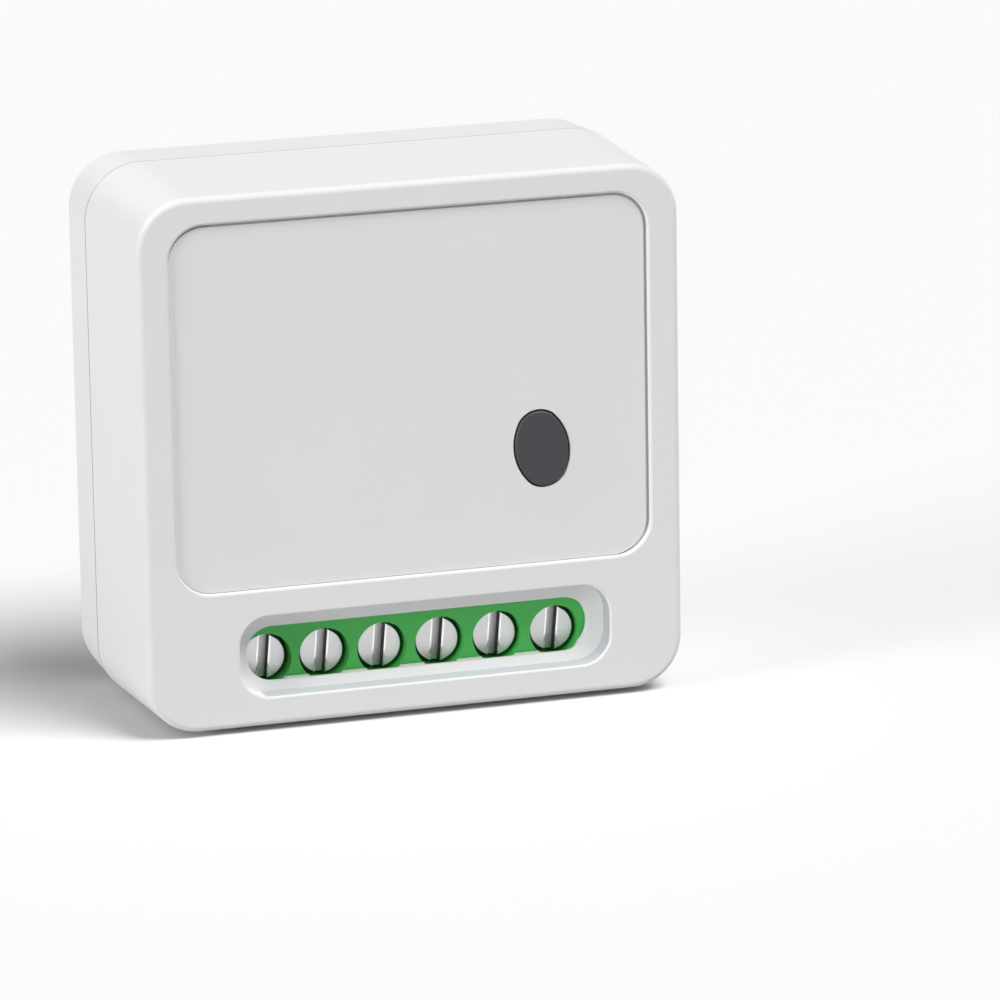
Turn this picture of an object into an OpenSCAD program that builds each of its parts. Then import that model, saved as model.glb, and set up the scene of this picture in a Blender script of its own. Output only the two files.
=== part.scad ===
// Smart relay module: a small switching box with six screw terminals behind a window.
// It stands on its terminal edge. Millimetres.
// Each piece is drawn with the box on its back: x to the right, y up the face, z from the back face (0)
// to the front face. stand() turns it upright, with the face towards -Y and its lowest line at Z = 0.

/* [Case] */
// Width of the case at the seam, its widest line
body_w = 47; // [43:0.5:60]
// Height of the case at the seam
body_h = 45.4; // [40.8:0.2:60]
// Depth from the back face to the front face
body_d = 21.8; // [19.6:0.1:26]
// Depth of the front cover, from the front face to the seam
front_d = 14.3; // [14:0.1:15.5]
// Radius of the four long corners at the seam
corner_r = 4.8; // [3.5:0.1:6.5]
// Wall of both covers
wall = 1.5; // [1.2:0.1:1.8]
// Wall of the front cover behind its face
face_t = 1.8; // [1.4:0.1:2.2]
// How much narrower each side is at the front face than at the seam
front_draft = 0.5; // [0.1:0.05:0.8]
// The same at the back face
rear_draft = 0.3; // [0.1:0.05:0.6]
// Rounding of the front edges
front_fillet = 0.5; // [0.4:0.1:1.5]
// Rounding of the back edges
rear_fillet = 1.5; // [0.4:0.1:2]

/* [Face panel] */
// From each side of the case to the sunk panel's floor
panel_side = 3.15; // [2.6:0.05:6]
// From the top of the case to the panel's floor
panel_top = 2.8; // [2.4:0.1:6]
// Height of the panel's lower edge
panel_low = 12; // [11.6:0.1:14]
// Corner radius of the panel
panel_r = 3; // [1.5:0.1:5]
// Depth of the panel below the face
panel_depth = 0.65; // [0.4:0.05:0.8]
// Thickness of the film that covers the panel
film_t = 0.35; // [0.1:0.05:0.35]

/* [Button] */
// Middle of the button from the right side of the case
button_in = 12.45; // [12:0.05:12.9]
// Height of the button's middle
button_y = 21.65; // [21.2:0.05:22]
// Width of the oval button
button_w = 4.6; // [4:0.1:6]
// Height of the oval button
button_h = 6.4; // [5.5:0.1:8]
// How far the oval leans to the left at its top
button_lean = 9.5; // [0:0.5:15]
// How far the button can press in
button_travel = 0.3; // [0.2:0.05:0.4]

/* [Terminals] */
// Distance between neighbouring terminals
pole_pitch = 5; // [4.9:0.02:5.08]
// Middle of the terminal row from the case's middle
term_x = 0.4; // [0:0.1:0.6]
// Height of the screws' axes
screw_y = 5.2; // [5:0.1:5.6]
// Thickest wire that goes in
wire_d = 2.4; // [1.8:0.1:2.6]
// Diameter of a screw's head
head_d = 3.85; // [3.2:0.05:4]
// Height of a screw's head
head_t = 1.6; // [1.3:0.1:1.8]
// Diameter of a screw's thread
thread_d = 2.5; // [2:0.1:2.6]
// Lead of the thread for one turn
thread_pitch = 0.45; // [0.35:0.01:0.5]
// Turns from open to clamped
screw_turns = 4.5; // [3:0.25:5]
// Width of a screw's slot
slot_w = 0.8; // [0.5:0.05:1.1]
// Depth of a screw's slot
slot_deep = 0.9; // [0.6:0.05:1.1]
// How far the slots stand from upright, to the right at the top
slot_angle = 5; // [0:1:45]

/* [Terminal window] */
// Width of the sunk frame round the terminals
recess_w = 31.9; // [31:0.1:32.4]
// Height of the sunk frame
recess_h = 6.8; // [6.4:0.1:7.2]
// Middle of the frame from the case's middle
recess_x = 0.75; // [0.5:0.05:0.9]
// Height of the frame's middle
recess_y = 6.3; // [6.1:0.1:6.5]
// Depth of the frame's ledge below the face, at the frame's wall
ledge_depth = 1.9; // [1.6:0.1:2.1]
// How much deeper the ledge gets on its way to the opening
ledge_fall = 0.55; // [0.3:0.05:0.6]
// Thickness of the ledge at the frame's wall
ledge_t = 1.3; // [1.1:0.1:1.5]
// Width of the opening in the ledge
window_w = 29.6; // [28.6:0.1:30.4]
// Height of the opening in the ledge
window_h = 4.6; // [4:0.1:5]
// How far the opening's middle is below the frame's
window_drop = 0.35; // [0:0.05:0.6]

/* [Board] */
// Thickness of the circuit board
board_t = 1.6; // [1:0.1:1.8]
// Space behind the board for its solder side
standoff_h = 2; // [1.8:0.1:2.6]

/* [Relay] */
// Width of the relay
relay_w = 12.6; // [12:0.1:13]
// Length of the relay
relay_l = 18.4; // [18.2:0.1:19.6]
// Height of the relay above the board
relay_h = 12.4; // [12.2:0.1:13.4]

/* [Hidden] */
$fn = 96;
// Cutting shapes run this far past the faces that they cut
past = 1;
poles = 6;

// Clearances: round leads, pegs and cages, in a thread, and round what moves
slip = 0.15;
running = 0.05;
clear = 0.3;
seam_gap = 0.2;
// Pieces on the board: between two of them, and to a post or an edge
spacing = 1;
close = 0.45;

// The covers, as levels from the back face
rear_d = body_d - front_d;
rim_z = rear_d + seam_gap / 2;
tray_rim = rear_d - seam_gap / 2;
cover_l = body_d - rim_z;
inner_r = corner_r - wall;
inner_w = body_w - 2 * wall;
inner_h = body_h - 2 * wall;
inner_fillet = 0.6;
panel_w = body_w - 2 * panel_side;
panel_h = body_h - panel_top - panel_low;
panel_y = panel_low + panel_h / 2;
panel_z = body_d - panel_depth;
panel_rim = 0.25;
film_gap = 0.27;
film_rest = 0.03;
recess_rim = 0.2;
recess_end_flat = 1.8;
recess_r = (recess_h - recess_end_flat) / 2;
ledge_back = body_d - ledge_depth - ledge_t;
ledge_skin = 0.6;
ledge_run = 1.6;
tongue_t = 0.7;
tongue_h = 1.2;
tongue_gap = 0.1;
post_r = 1.1;
peg_r = 0.55;
peg_h = 1.2;
hook_w = 5;
hook_t = 0.9;
hook_h = 4.2;
hook_rise = 2.6;
hook_lip = 0.4;
hook_catch = 0.5;
hook_gap = 0.2;
hook_in = wall + front_draft * hook_h / front_d + hook_gap;

// The circuit board, inside the hooks and the tongue
board_z = wall + standoff_h;
board_top = board_z + board_t;
board_gap = 0.3;
board_w = body_w - 2 * (hook_in + hook_t + board_gap);
board_end_gap = 0.2;
board_y0 = wall + tongue_gap + tongue_t + board_end_gap;
board_y1 = body_h - board_y0;
board_h = board_y1 - board_y0;
board_r = 2;
board_left = -board_w / 2;
board_right = board_w / 2;
lead_r = 0.3;
pin_tail = 1.2;
post_in = post_r + slip;
post_y = 2.8;
post_spots = [
    [board_left + post_in, board_y0 + post_y],
    [board_right - post_in, board_y0 + post_y],
    [board_left + post_in, board_y1 - post_y],
    [board_right - post_in, board_y1 - post_y]
];

// The button and the switch under it
button_x = body_w / 2 - button_in;
button_proud = 0.1;
// Radius that would run smoothly from the oval's sides round its ends, as a share of half its width
oval_end = 0.83;
// How much fuller than that its ends are
oval_fuller = 1.03;
// Height of the part that its sides alone bound, as a share of where they would run into its ends
oval_waist = 0.93;
button_gap = 0.13;
button_front = panel_z + film_t + button_proud;
boss_t = 1;
boss_w = 1.2;
boss_z = body_d - face_t - boss_t;
flange_t = 0.8;
flange_lip = 0.6;
stem_r = 1.4;
switch_side = 6;
switch_h = 3.5;
switch_frame_t = 0.2;
switch_top = board_top + switch_h - switch_frame_t;
switch_floor = 1.6;
switch_leg = [3.3, 2.25];
switch_legs = [
    for (sx = [-1, 1], sy = [-1, 1]) [button_x + sx * switch_leg[0], button_y + sy * switch_leg[1]]
];
plunger_r = 1.7;
plunger_h = 7;
plunger_top = board_top + plunger_h;
plunger_lip_r = 2.2;
plunger_lip_t = 0.7;
dome_r = 2;
dome_t = 0.1;
dome_gap = button_travel + 0.2;
dome_h = switch_top - plunger_lip_t - board_top - switch_floor - dome_gap;

// The terminal block, from its face down to the board
block_gap = 0.1;
block_face = ledge_back - block_gap;
block_end = 0.5;
block_w = poles * pole_pitch + 2 * block_end;
block_y0 = wall + front_draft + slip;
block_l = 9.6;
block_y1 = block_y0 + block_l;
head_sunk = 1;
head_edge = 0.12;
head_top = block_face - head_sunk;
head_bottom = head_top - head_t;
well_gap = 0.25;
well_r = head_d / 2 + well_gap;
head_lift = 0.1;
well_floor = head_bottom - head_lift;
web_t = 1;
chamber_top = well_floor - web_t;
chamber_side = 0.5;
chamber_w = pole_pitch - chamber_side;
chamber_l = 4.3;
cage_travel = screw_turns * thread_pitch;
cage_w = chamber_w - 2 * slip;
cage_l = chamber_l - 2 * slip;
cage_front_t = 1;
cage_side_t = 0.6;
cage_back_t = 0.8;
cage_gap = 0.2;
cage_top = chamber_top - cage_gap - cage_travel;
bar_t = 0.8;
bar_w = cage_w - 2 * cage_side_t - 2 * cage_gap;
bar_top = cage_top - cage_front_t - slip;
bar_bottom = bar_top - bar_t;
bar_y0 = screw_y - cage_l / 2 + cage_gap;
leg_in = 2.5;
leg_y = block_y1 - leg_in;
pin_w = 1;
pin_slip = 0.1;
cage_bottom = bar_bottom - wire_d - cage_back_t;
wire_z = bar_bottom - wire_d / 2;
apron_y = 0.45;
apron_wall = 0.5;
apron_t = wire_d + 2 * apron_wall;
apron_in = 0.3;
apron_w = block_w - 2 * apron_in;
apron_gap = 0.25;
funnel = 0.4;

// Where the pieces stand on the board, and their sizes
relay_x = board_left + spacing + relay_w / 2;
relay_y = block_y1 + spacing + relay_l / 2;
can_lead = 1.25;
can_groove_r = 0.4;
can_groove_z = 1.4;
can_groove_in = 0.25;
big_can_r = 3.15;
big_can_h = 11.5;
big_can = [board_left + 2 * post_r + big_can_r + close, board_y1 - big_can_r - close];
small_can_r = 2.5;
small_can_h = 9;
core_size = [9.6, 4.8, 9.6];
core_limb = 1.4;
core_middle = 2.6;
core_lift = 1;
spool_size = [6.6, 9.8, 6.8];
spool_wall = 0.4;
spool_flange = 0.6;
spool_foot = [8.8, 1.9, 2];
winding_in = 0.2;
winding_size = [spool_size[0] - winding_in, spool_size[1] - 2 * winding_in];
transformer = [relay_x + relay_w / 2 + close + core_size[0] / 2, board_y1 - spool_size[1] / 2 - spacing];
spool_lead_in = 0.5;
spool_lead_step = 3.4;
spool_lead = [spool_lead_step, spool_size[1] / 2 - spool_lead_in];
fuse_r = 1.6;
fuse_l = 8.4;
fuse_span = 5.4;
fuse = [relay_x + relay_w / 2 + spacing + fuse_span + lead_r, block_y1 + fuse_r + spacing];
rectifier_size = [4.6, 3.8, 1.6];
leg_size = [0.4, 0.9, 0.25];
rectifier_step = 2.5;
rectifier = [
    fuse[0] + fuse_span + rectifier_size[0] / 2 + 2 * spacing,
    block_y1 + rectifier_size[1] / 2 + leg_size[1] + close
];
varistor_r = 3.5;
varistor_t = 3.2;
varistor_lead = 2.5;
varistor = [board_right - varistor_t / 2 - close, block_y1 + varistor_r + spacing];
coupler_size = [4.6, 6.2, 3.2];
coupler_lift = 0.4;
coupler_lead = [1.27, 3.6];
coupler = [
    board_right - coupler_size[0] / 2 - close,
    varistor[1] + varistor_r + coupler_lead[1] + 2 * lead_r
];
chip_size = [4.9, 3.8, 1.5];
regulator_size = [2.9, 1.6, 1.1];
chip_step = 1.27;
regulator_step = 0.95;
chip = [relay_x + relay_w / 2 + spacing + chip_size[0] / 2, fuse[1] + fuse_r + chip_size[1] / 2 + spacing];
regulator = [chip[0] + (chip_size[0] + regulator_size[0]) / 2 + close, chip[1]];
small_can = [chip[0], chip[1] + chip_size[1] / 2 + leg_size[1] + close + small_can_r];
choke_r = 1.9;
choke_h = 6.4;
choke_flange = 1;
choke_waist = 0.3;
choke_lead = 1.5;
choke_up = 6.4;
choke = [button_x - switch_leg[0] - lead_r - clear - choke_r, button_y + choke_up];
led_size = [1.6, 0.8, 0.7];
led = [
    button_x + switch_side / 2 + spacing,
    rectifier[1] + rectifier_size[1] / 2 + leg_size[1] + led_size[1] / 2
];
radio_y0 = coupler[1] + coupler_lead[1] + lead_r + close;
radio_size = [10, board_y1 - close - radio_y0, 0.8];
radio = [board_right - 2 * post_r - close - radio_size[0] / 2, radio_y0 + radio_size[1] / 2];
shield_edge = 0.6;
antenna_h = 4;
shield_h = 2;
shield_size = [radio_size[0] - 2 * shield_edge, radio_size[1] - shield_edge - antenna_h, shield_h];
shield_t = 0.2;
resistor_size = [1.6, 0.8, 0.45];
capacitor_size = [1.6, 0.8, 0.8];
small_step = [2.1, 2.5];

// The relay's works, from the board up
cover_t = 0.6;
base_t = 1.6;
base_slip = 0.05;
coil_down = 3.2;
coil_y = relay_y - coil_down;
coil_r = 4.1;
tube_r = 2.4;
core_r = 1.5;
yoke_t = 1;
yoke_w = 8;
yoke_foot = 3;
yoke_z = board_top + base_t;
bobbin_z = yoke_z + yoke_t;
bobbin_h = 6.2;
bobbin_flange = 0.7;
bobbin_edge = 0.3;
bobbin_side = 2 * (coil_r + bobbin_edge);
pole_z = bobbin_z + bobbin_h;
pole_r = 2.6;
pole_t = 0.5;
pole_top = pole_z + pole_t;
yoke_gap = 0.6;
yoke_y = coil_y + bobbin_side / 2 + yoke_gap;
leaf_w = 3.6;
leaf_t = 0.2;
pole_gap = 0.42;
leaf_z = pole_top + pole_gap;
leaf_in = 2.8;
leaf_y0 = coil_y + leaf_in;
pivot_gap = 0.1;
armature_w = 7;
armature_t = 0.9;
armature_over = 3;
armature_y0 = coil_y - armature_over;
contact_up = 6.2;
contact_y = relay_y + contact_up;
contact_r = 1.1;
contact_t = 0.5;
contact_gap = 0.3;
contact_rest = 0.05;
strip_t = 0.4;
strip_leg = 1.2;
coil_pin_x = 4;
coil_pin_out = 0.5;
coil_pin_y = coil_y - bobbin_side / 2 - coil_pin_out;
contact_pin_x = 3.4;
contact_pin_out = 1.6;
contact_pin_y = contact_y + contact_pin_out;
coil_pins = [for (s = [-1, 1]) [relay_x + s * coil_pin_x, coil_pin_y]];
yoke_pin = [relay_x - yoke_w / 2 + lead_r, yoke_y + yoke_t / 2];
make_pin = [relay_x + contact_pin_x, contact_pin_y];
break_pin = [relay_x - contact_pin_x, contact_pin_y];
relay_leads = concat(coil_pins, [yoke_pin, make_pin, break_pin]);

// Every wire lead that goes through the board
big_can_leads = [for (s = [-1, 1]) big_can + [s * can_lead, 0]];
small_can_leads = [for (s = [-1, 1]) small_can + [s * can_lead, 0]];
fuse_leads = [for (s = [-1, 1]) fuse + [s * fuse_span, 0]];
varistor_leads = [for (s = [-1, 1]) varistor + [0, s * varistor_lead]];
choke_leads = [for (s = [-1, 1]) choke + [s * choke_lead, 0]];
coupler_leads = [for (sx = [-1, 1], sy = [-1, 1]) coupler + [sx * coupler_lead[0], sy * coupler_lead[1]]];
transformer_leads = [for (sx = [-1, 1], sy = [-1, 1]) transformer + [sx * spool_lead[0], sy * spool_lead[1]]];
leads = concat(
    relay_leads, switch_legs, big_can_leads, small_can_leads, fuse_leads,
    varistor_leads, choke_leads, coupler_leads, transformer_leads
);

// The names of the pieces, one file each

// x of a terminal, counted from the left
function pole_x(n) = term_x + (n - (poles + 1) / 2) * pole_pitch;

// Stands a piece that was drawn on its back upright
module stand() {
    translate([0, body_d / 2, 0]) rotate([90, 0, 0]) children();
}

// A flat rounded rectangle about its middle
module rounded_rect(w, h, r) {
    square([w - 2 * r, h], center = true);
    square([w, h - 2 * r], center = true);
    for (sx = [-1, 1], sy = [-1, 1]) {
        translate([sx * (w / 2 - r), sy * (h / 2 - r)]) circle(r);
    }
}

// Carries a flat profile round a rounded rectangle and fills the middle from z0 to z1.
// The profile's x is 0 on a corner's axis and r on the outline, and its y is the height.
module carry_round(w, h, r, z0, z1) {
    x = w / 2 - r;
    y = h / 2 - r;
    for (sx = [0, 1], sy = [0, 1]) {
        mirror([sx, 0, 0]) mirror([0, sy, 0]) translate([x, y, 0]) rotate_extrude(angle = 90) children();
    }
    for (s = [0, 1]) {
        mirror([s, 0, 0]) translate([x, y, 0]) rotate([90, 0, 0]) linear_extrude(2 * y) children();
        mirror([0, s, 0]) translate([-x, y, 0]) rotate([90, 0, 90]) linear_extrude(2 * x) children();
    }
    translate([-x, -y, z0]) cube([2 * x, 2 * y, z1 - z0]);
}

// Profile of a leaning wall of height l with a rounded upper edge
module leaning_edge(r, l, draft, fillet) {
    lean = atan(draft / l);
    cx = r - draft * (l - fillet) / l - fillet / cos(lean);
    cy = l - fillet;
    polygon([[0, 0], [r, 0], [cx + fillet * cos(lean), cy + fillet * sin(lean)], [cx, l], [0, l]]);
    translate([cx, cy]) circle(fillet);
}

// Profile of a sunk pocket below height 0, with its rim rounded outwards
module pocket_edge(r, depth, rim) {
    translate([0, -depth]) square([r, depth + past]);
    difference() {
        translate([r, -rim]) square([rim, rim + past]);
        translate([r + rim, -rim]) circle(rim);
    }
}

// Profile of the ledge's slope at the foot of a pocket's wall
module ledge_slope(r, depth) {
    low = -depth - ledge_fall;
    polygon([[0, -depth], [r, -depth], [r - ledge_run, low], [0, low]]);
}

// The button's oval, made larger all round by grow: two flat side arcs, cut off above and below by end
// arcs a little fuller than the ones that would run into them smoothly
module oval(grow = 0) {
    half_w = button_w / 2;
    blend_r = half_w * oval_end;
    blend_y = button_h / 2 - blend_r;
    side_r = (half_w * half_w + blend_y * blend_y - blend_r * blend_r) / (2 * (half_w - blend_r));
    side_x = side_r - half_w;
    waist = oval_waist * side_r * blend_y / (side_r - blend_r);
    end_r = blend_r * oval_fuller;
    translate([button_x, button_y]) rotate(button_lean) intersection() {
        translate([side_x, 0]) circle(side_r + grow);
        translate([-side_x, 0]) circle(side_r + grow);
        union() {
            square([button_w + 2 * grow + past, 2 * waist], center = true);
            for (s = [-1, 1]) {
                translate([0, s * (button_h / 2 - end_r)]) circle(end_r + grow);
            }
        }
    }
}

// Extrudes a flat outline between two levels
module slab(z0, z1) {
    translate([0, 0, z0]) linear_extrude(z1 - z0) children();
}

// A block about a point of the board, from level z0
module block_at(spot, size, z0) {
    translate([spot[0] - size[0] / 2, spot[1] - size[1] / 2, z0]) cube(size);
}

// An upright cylinder between two levels
module pillar(spot, r, z0, z1) {
    translate([spot[0], spot[1], z0]) cylinder(h = z1 - z0, r = r);
}

// Leads that go down from level z0 through the board
module lead_wires(spots, z0) {
    for (p = spots) {
        pillar(p, lead_r, board_z - pin_tail, z0);
    }
}

// Front cover: white moulded shell with the sunk panel, the window and posts that press on the board
module front_cover() {
    color("white") difference() {
        union() {
            translate([0, body_h / 2, rim_z]) front_shell();
            block_at(
                [recess_x, recess_y],
                [recess_w + 2 * wall, recess_h + 2 * wall, ledge_t + ledge_depth - face_t / 2],
                ledge_back
            );
            slab(boss_z, panel_z) oval(button_gap + boss_w);
            for (p = post_spots) {
                pillar(p, post_r, board_top, body_d - face_t / 2);
            }
        }
        translate([0, panel_y, body_d]) carry_round(panel_w, panel_h, panel_r, -panel_depth, past) {
            pocket_edge(panel_r, panel_depth, panel_rim);
        }
        translate([recess_x, recess_y, body_d]) {
            carry_round(recess_w, recess_h, recess_r, -ledge_depth - ledge_fall, past) {
                pocket_edge(recess_r, ledge_depth, recess_rim);
                ledge_slope(recess_r, ledge_depth);
            }
        }
        translate([recess_x, recess_y - window_drop]) slab(ledge_back - past, body_d) window_outline();
        for (n = [1:poles]) {
            pillar([pole_x(n), screw_y], well_r, ledge_back - past, ledge_back + ledge_t - ledge_skin);
        }
        slab(boss_z - past, body_d) oval(button_gap);
        wire_notch();
        for (p = post_spots) {
            pillar(p, peg_r + slip, board_top - past, board_top + peg_h + clear);
        }
        for (y = hook_spots(), s = [0, 1]) {
            mirror([s, 0, 0]) translate([body_w / 2 - hook_in, y, rear_d]) hook_pocket();
        }
    }
}

// The front cover's shell, above its rim
module front_shell() {
    l = cover_l - face_t + past;
    difference() {
        carry_round(body_w, body_h, corner_r, 0, cover_l) {
            leaning_edge(corner_r, cover_l, front_draft, front_fillet);
        }
        translate([0, 0, -past]) carry_round(inner_w, inner_h, inner_r, 0, l) {
            leaning_edge(inner_r, l, front_draft, inner_fillet);
        }
    }
}

// The opening in the ledge that the screws show through, with nearly round ends
module window_outline() {
    rounded_rect(window_w, window_h, window_h / 2 - running);
}

// The gap in the front cover's lower rim that the terminal block's wire side shows through
module wire_notch() {
    top = wire_z + apron_t / 2 + apron_gap;
    translate([term_x - apron_w / 2 - apron_gap, -past, rear_d - past]) {
        cube([apron_w + 2 * apron_gap, wall + front_draft + past, top - rear_d + past]);
    }
}

// Heights of the snap hooks on each side
function hook_spots() = [block_y1 + hook_w, board_y1 - 2 * hook_w];

// The hollow in the front cover's side wall that a hook catches in
module hook_pocket() {
    translate([-past, -hook_w / 2 - clear, hook_rise - clear]) {
        cube([past + hook_catch + clear, hook_w + 2 * clear, hook_h - hook_rise + 2 * clear]);
    }
}

// Rear cover: white moulded tray with posts and pegs for the board, a tongue round its rim and four hooks
module rear_cover() {
    color("white") {
        translate([0, body_h / 2, tray_rim]) mirror([0, 0, 1]) rear_shell();
        difference() {
            translate([0, body_h / 2, 0]) rim_tongue();
            translate([term_x - block_w / 2 - clear, 0, 0]) cube([block_w + 2 * clear, board_y0, body_d]);
        }
        for (p = post_spots) {
            pillar(p, post_r, wall / 2, board_z);
            pillar(p, peg_r, wall, board_top + peg_h);
        }
        for (y = hook_spots(), s = [0, 1]) {
            mirror([s, 0, 0]) translate([body_w / 2 - hook_in, y + hook_w / 2, rear_d]) snap_hook();
        }
    }
}

// The rear tray, from its rim towards its back
module rear_shell() {
    l = tray_rim - wall + past;
    difference() {
        carry_round(body_w, body_h, corner_r, 0, tray_rim) {
            leaning_edge(corner_r, tray_rim, rear_draft, rear_fillet);
        }
        translate([0, 0, -past]) carry_round(inner_w, inner_h, inner_r, 0, l) {
            leaning_edge(inner_r, l, rear_draft, inner_fillet);
        }
    }
}

// The ring on the rear cover's rim that locates the front cover
module rim_tongue() {
    slab(tray_rim - tongue_h, tray_rim) tongue_ring(wall / 2);
    slab(tray_rim - tongue_h, tray_rim + tongue_h) tongue_ring(wall + tongue_gap);
}

// Outline of that ring, from an inset to its inner edge
module tongue_ring(inset) {
    inner = wall + tongue_gap + tongue_t;
    difference() {
        rounded_rect(body_w - 2 * inset, body_h - 2 * inset, corner_r - inset);
        rounded_rect(body_w - 2 * inner, body_h - 2 * inner, corner_r - inner);
    }
}

// A snap hook at the right wall: its x is 0 on its outer face and its y is 0 on the seam
module snap_hook() {
    root = hook_in - wall / 2;
    rotate([90, 0, 0]) linear_extrude(hook_w) {
        polygon([
            [-hook_t, -tongue_h], [root, -tongue_h], [root, -seam_gap], [0, -seam_gap],
            [0, hook_rise], [hook_catch, hook_rise], [hook_catch, hook_rise + hook_lip],
            [0, hook_h], [-hook_t, hook_h]
        ]);
    }
}

// Panel film: blank label film, laid into the panel's lower left corner, with a hole for the button
module panel_film() {
    w = panel_w - film_gap - film_rest;
    h = panel_h - film_gap - film_rest;
    shift = (film_rest - film_gap) / 2;
    color("whitesmoke") slab(panel_z, panel_z + film_t) difference() {
        translate([shift, panel_y + shift]) rounded_rect(w, h, panel_r - film_rest);
        oval(button_gap);
    }
}

// Button: dark oval cap with a lip behind the face and a stem that reaches the switch
module button_cap() {
    color("dimgray") {
        slab(boss_z - flange_t, button_front) oval();
        slab(boss_z - flange_t, boss_z) oval(flange_lip);
        pillar([button_x, button_y], stem_r, plunger_top, boss_z);
    }
}

// Terminal block: green housing with a well, a chamber and a wire hole for each terminal
module terminal_block() {
    color("green") difference() {
        union() {
            translate([term_x - block_w / 2, block_y0, board_top]) {
                cube([block_w, block_l, block_face - board_top]);
            }
            translate([term_x - apron_w / 2, apron_y, wire_z - apron_t / 2]) {
                cube([apron_w, screw_y - chamber_l / 2 - apron_y, apron_t]);
            }
        }
        for (n = [1:poles]) {
            translate([pole_x(n), 0, 0]) pole_hollows();
        }
    }
}

// What is cut from the terminal block for one terminal
module pole_hollows() {
    pillar([0, screw_y], well_r, well_floor, block_face + past);
    pillar([0, screw_y], thread_d / 2 + clear, chamber_top - past, well_floor + past);
    translate([-chamber_w / 2, screw_y - chamber_l / 2, board_top - past]) {
        cube([chamber_w, chamber_l, chamber_top - board_top + past]);
    }
    translate([-bar_w / 2 - pin_slip, screw_y, board_top - past]) {
        cube([bar_w + 2 * pin_slip, leg_y + bar_t + pin_slip - screw_y, bar_top - board_top + past]);
    }
    translate([0, apron_y - past, wire_z]) rotate([-90, 0, 0]) {
        cylinder(h = screw_y - apron_y + past, r = wire_d / 2);
    }
    translate([0, apron_y, wire_z]) rotate([-90, 0, 0]) {
        cylinder(h = funnel, r1 = wire_d / 2 + funnel, r2 = wire_d / 2);
    }
}

// Terminal bars: six tinned bars that the wires are clamped against, each with a pin through the board
module terminal_bars() {
    color("silver") for (n = [1:poles]) {
        translate([pole_x(n), 0, 0]) {
            translate([-bar_w / 2, bar_y0, bar_bottom]) cube([bar_w, leg_y + bar_t - bar_y0, bar_t]);
            translate([-bar_w / 2, leg_y, board_top]) cube([bar_w, bar_t, bar_top - board_top]);
            translate([-pin_w / 2, leg_y, board_z - pin_tail]) {
                cube([pin_w, bar_t, bar_top - board_z + pin_tail]);
            }
        }
    }
}

// Terminal screw: slotted head in the well, thread in the cage and tip against the bar
module terminal_screw(n) {
    r = head_d / 2;
    shank_r = thread_d / 2;
    tip = bar_top + running;
    tip_edge = 0.2;
    flare = slot_w / 2 + head_edge + past;
    color("lightgray") translate([pole_x(n), screw_y, 0]) difference() {
        rotate_extrude() polygon([
            [0, tip], [shank_r - tip_edge, tip], [shank_r, tip + tip_edge], [shank_r, head_bottom],
            [r, head_bottom], [r, head_top - head_edge], [r - head_edge, head_top], [0, head_top]
        ]);
        translate([0, 0, head_top]) rotate([90, 0, -slot_angle]) translate([0, 0, -head_d]) {
            linear_extrude(2 * head_d) polygon([
                [-slot_w / 2, -slot_deep], [slot_w / 2, -slot_deep], [slot_w / 2, -head_edge],
                [flare, past], [-flare, past], [-slot_w / 2, -head_edge]
            ]);
        }
    }
}

// Clamp cage: brass sleeve that the screw draws up, so that its back wall lifts the wire to the bar
module clamp_cage(n) {
    window_top = cage_top - cage_front_t;
    window_z = cage_bottom + cage_back_t;
    color("goldenrod") translate([pole_x(n), screw_y, 0]) difference() {
        block_at([0, 0], [cage_w, cage_l, cage_top - cage_bottom], cage_bottom);
        block_at([0, 0], [cage_w - 2 * cage_side_t, cage_l + past, window_top - window_z], window_z);
        pillar([0, 0], thread_d / 2 + running, window_top - slip, cage_top + past);
    }
}

// Circuit board: carries every electrical piece and sits on the rear cover's posts
module main_board() {
    color("darkgreen") difference() {
        translate([0, body_h / 2]) slab(board_z, board_top) rounded_rect(board_w, board_h, board_r);
        for (p = post_spots) {
            pillar(p, peg_r + slip, board_z - past, board_top + past);
        }
        for (p = leads) {
            pillar(p, lead_r + slip, board_z - past, board_top + past);
        }
        for (n = [1:poles]) {
            block_at(
                [pole_x(n), leg_y + bar_t / 2],
                [pin_w + 2 * pin_slip, bar_t + 2 * pin_slip, board_t + 2 * past],
                board_z - past
            );
        }
    }
}

// Push switch: black base with a round well for the dome and four legs
module switch_base() {
    color("black") difference() {
        block_at([button_x, button_y], [switch_side, switch_side, switch_top - board_top], board_top);
        pillar([button_x, button_y], plunger_lip_r + slip, board_top + switch_floor, switch_top + past);
    }
    color("silver") lead_wires(switch_legs, board_top + spacing);
}

// Metal plate that closes the switch round its plunger
module switch_frame() {
    color("silver") difference() {
        block_at([button_x, button_y], [switch_side, switch_side, switch_frame_t], switch_top);
        pillar([button_x, button_y], plunger_r + 2 * running, board_top, switch_top + past);
    }
}

// Plunger that the button's stem pushes
module switch_plunger() {
    color("dimgray") {
        pillar([button_x, button_y], plunger_r, switch_top - plunger_lip_t, plunger_top);
        pillar([button_x, button_y], plunger_lip_r, switch_top - plunger_lip_t, switch_top);
    }
}

// Snap dome under the plunger
module switch_dome() {
    ball_r = (dome_r * dome_r + dome_h * dome_h) / (2 * dome_h);
    color("silver") translate([button_x, button_y, switch_top - plunger_lip_t - ball_r]) intersection() {
        difference() {
            sphere(ball_r);
            sphere(ball_r - dome_t);
        }
        translate([0, 0, ball_r - dome_h]) cylinder(h = 2 * dome_h, r = 2 * dome_r);
    }
}

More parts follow.
